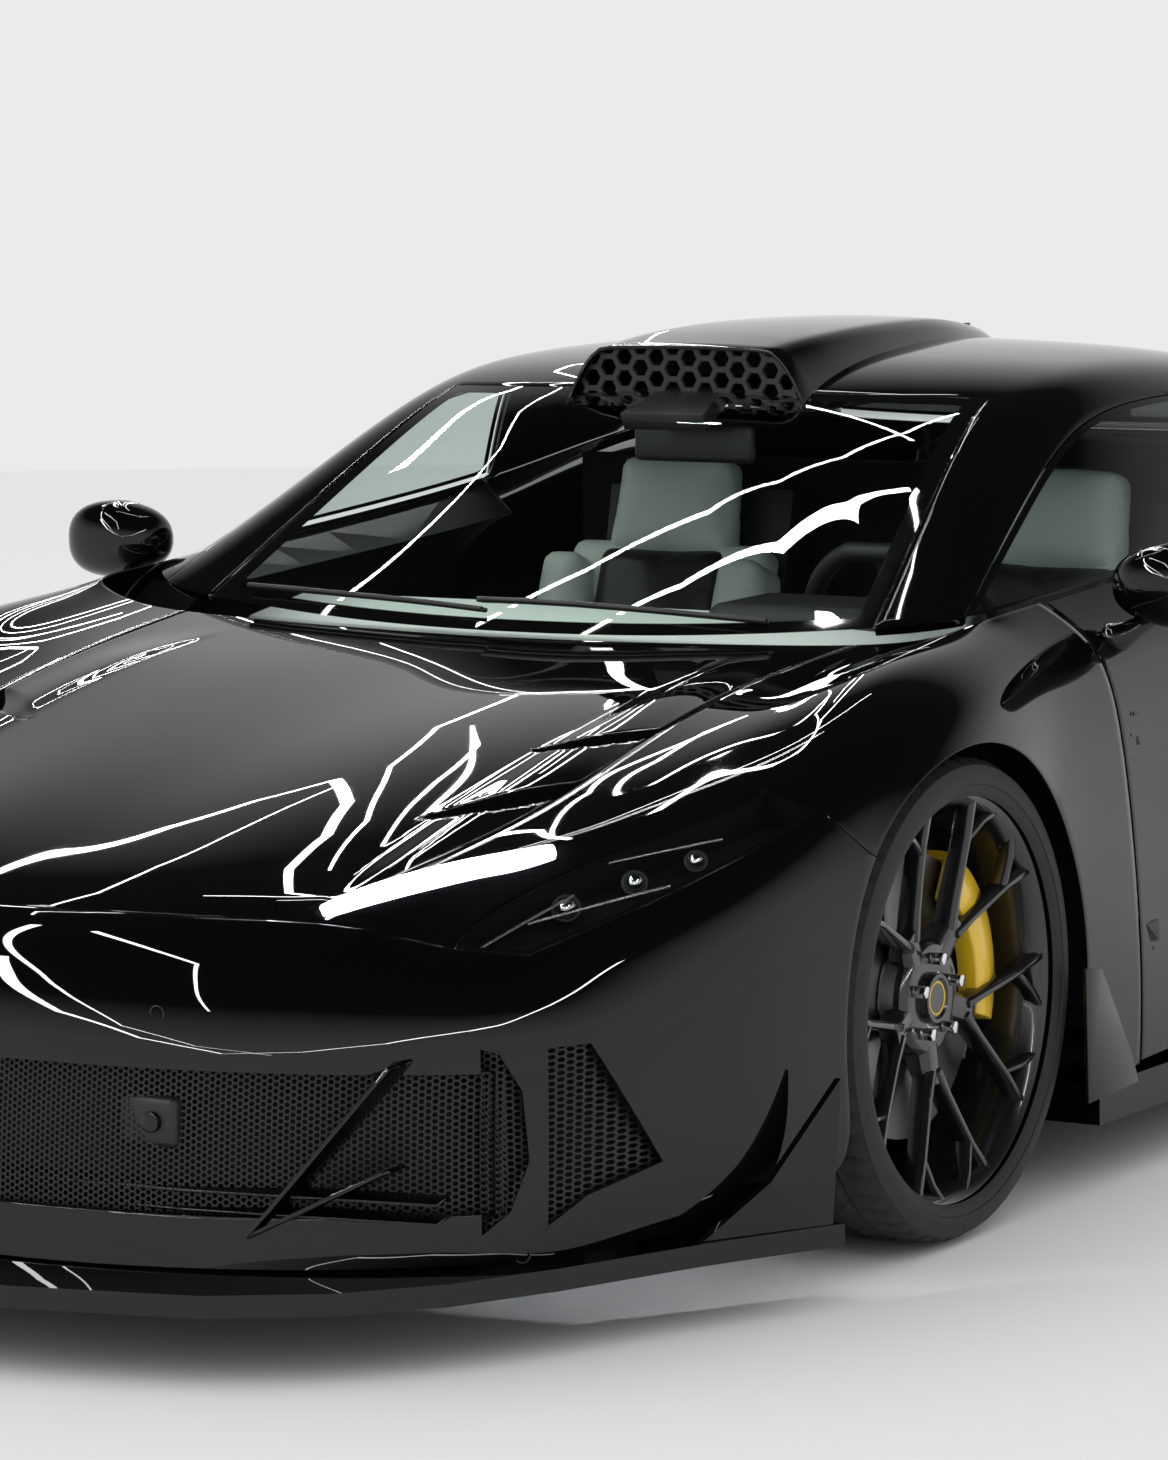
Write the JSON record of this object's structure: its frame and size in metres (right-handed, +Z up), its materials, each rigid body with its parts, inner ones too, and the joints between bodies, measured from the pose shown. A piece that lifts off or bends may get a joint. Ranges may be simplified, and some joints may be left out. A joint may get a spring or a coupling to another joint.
{
  "type": "two-seat mid-engined supercar",
  "caption": "Low two-seat mid-engined coupe with a roof scoop, opening doors, opening front and engine lids, steered front wheels and free-turning wheels.",
  "frame": {"origin": "on the ground under the middle of the car", "axes": "+Z up, -Y towards the front of the car, +X towards its left side"},
  "size_m": [2.0674, 4.72, 1.1965],
  "materials": {
    "gloss_black_paint": "deep gloss black lacquer over composite and alloy panels",
    "satin_black_plastic": "satin black composite",
    "tinted_glass": "lightly tinted glass",
    "lamp_glass": "clear lamp cover over dark reflectors",
    "lamp_red": "red lamp cover",
    "tyre_rubber": "matt black rubber",
    "forged_black": "gloss black forged alloy",
    "machined_metal": "plain cast and machined alloy",
    "pale_leather": "pale mint grey leather",
    "dark_leather": "black leather"
  },
  "bodies": {
    "root": {"dashboard": "dark_leather", "engine_block": "machined_metal", "front_bumper": "gloss_black_paint", "front_fender_left": "gloss_black_paint", "front_fender_right": "gloss_black_paint", "front_grille": "satin_black_plastic", "front_splitter": "gloss_black_paint", "front_subframe": "satin_black_plastic", "headlamp_left": "lamp_glass", "headlamp_right": "lamp_glass", "knuckle_rear_left": "machined_metal", "knuckle_rear_right": "machined_metal", "rear_bumper": "gloss_black_paint", "rear_diffuser": "satin_black_plastic", "rear_glass": "tinted_glass", "rear_quarter_left": "gloss_black_paint", "rear_quarter_right": "gloss_black_paint", "rear_subframe": "satin_black_plastic", "rear_wing": "gloss_black_paint", "roof": "gloss_black_paint", "roof_scoop": "gloss_black_paint", "seat_left": "pale_leather", "seat_right": "pale_leather", "side_skirt_left": "satin_black_plastic", "side_skirt_right": "satin_black_plastic", "tail_lamp_left": "lamp_red", "tail_lamp_right": "lamp_red", "tub": "satin_black_plastic", "windscreen": "tinted_glass"},
    "knuckle_front_left": {"knuckle_front_left": "machined_metal"},
    "knuckle_front_right": {"knuckle_front_right": "machined_metal"},
    "wheel_front_left": {"wheel_front_left": "forged_black", "tyre_front_left": "tyre_rubber"},
    "wheel_front_right": {"wheel_front_right": "forged_black", "tyre_front_right": "tyre_rubber"},
    "wheel_rear_left": {"wheel_rear_left": "forged_black", "tyre_rear_left": "tyre_rubber"},
    "wheel_rear_right": {"wheel_rear_right": "forged_black", "tyre_rear_right": "tyre_rubber"},
    "door_left": {"door_left": "gloss_black_paint", "door_glass_left": "tinted_glass", "mirror_left": "gloss_black_paint"},
    "door_right": {"door_right": "gloss_black_paint", "door_glass_right": "tinted_glass", "mirror_right": "gloss_black_paint"},
    "bonnet": {"bonnet": "gloss_black_paint"},
    "engine_lid": {"engine_lid": "gloss_black_paint"},
    "steering_wheel": {"steering_wheel": "dark_leather"}
  },
  "joints": [
    {"name": "steer_left", "type": "hinge", "parent": "root", "child": "knuckle_front_left", "pos_m": [0.735, -1.12, 0.34007], "axis": [0, 0, 1], "range_deg": [-30, 30]},
    {"name": "steer_right", "type": "hinge", "parent": "root", "child": "knuckle_front_right", "pos_m": [-0.735, -1.12, 0.34007], "axis": [0, 0, 1], "range_deg": [-30, 30]},
    {"name": "steering_wheel_turn", "type": "hinge", "parent": "root", "child": "steering_wheel", "pos_m": [0.3675, -0.1528, 0.7223], "axis": [0, 0.9135, 0.4067], "range_deg": [-330, 330]},
    {"name": "wheel_front_left_spin", "type": "hinge", "parent": "knuckle_front_left", "child": "wheel_front_left", "pos_m": [0.83, -1.12, 0.34007], "axis": [1, 0, 0], "continuous": true},
    {"name": "wheel_front_right_spin", "type": "hinge", "parent": "knuckle_front_right", "child": "wheel_front_right", "pos_m": [-0.83, -1.12, 0.34007], "axis": [1, 0, 0], "continuous": true},
    {"name": "wheel_rear_left_spin", "type": "hinge", "parent": "root", "child": "wheel_rear_left", "pos_m": [0.83, 1.48, 0.35494], "axis": [1, 0, 0], "continuous": true},
    {"name": "wheel_rear_right_spin", "type": "hinge", "parent": "root", "child": "wheel_rear_right", "pos_m": [-0.83, 1.48, 0.35494], "axis": [1, 0, 0], "continuous": true},
    {"name": "door_left_hinge", "type": "hinge", "parent": "root", "child": "door_left", "pos_m": [0.9261, -0.52304, 0.3495], "axis": [-0.075, 0, 0.9972], "range_deg": [-65, 0]},
    {"name": "door_right_hinge", "type": "hinge", "parent": "root", "child": "door_right", "pos_m": [-0.9261, -0.52304, 0.3495], "axis": [0.075, 0, 0.9972], "range_deg": [0, 65]},
    {"name": "bonnet_hinge", "type": "hinge", "parent": "root", "child": "bonnet", "pos_m": [0, -0.81829, 0.76675], "axis": [1, 0, 0], "range_deg": [-50, 0]},
    {"name": "engine_lid_hinge", "type": "hinge", "parent": "root", "child": "engine_lid", "pos_m": [0, 1.28, 0.92867], "axis": [1, 0, 0], "range_deg": [0, 45]}
  ],
  "couplings": [
    {"joint": "steer_right", "follows": "steer_left", "ratio": 1},
    {"joint": "steering_wheel_turn", "follows": "steer_left", "ratio": 11}
  ]
}
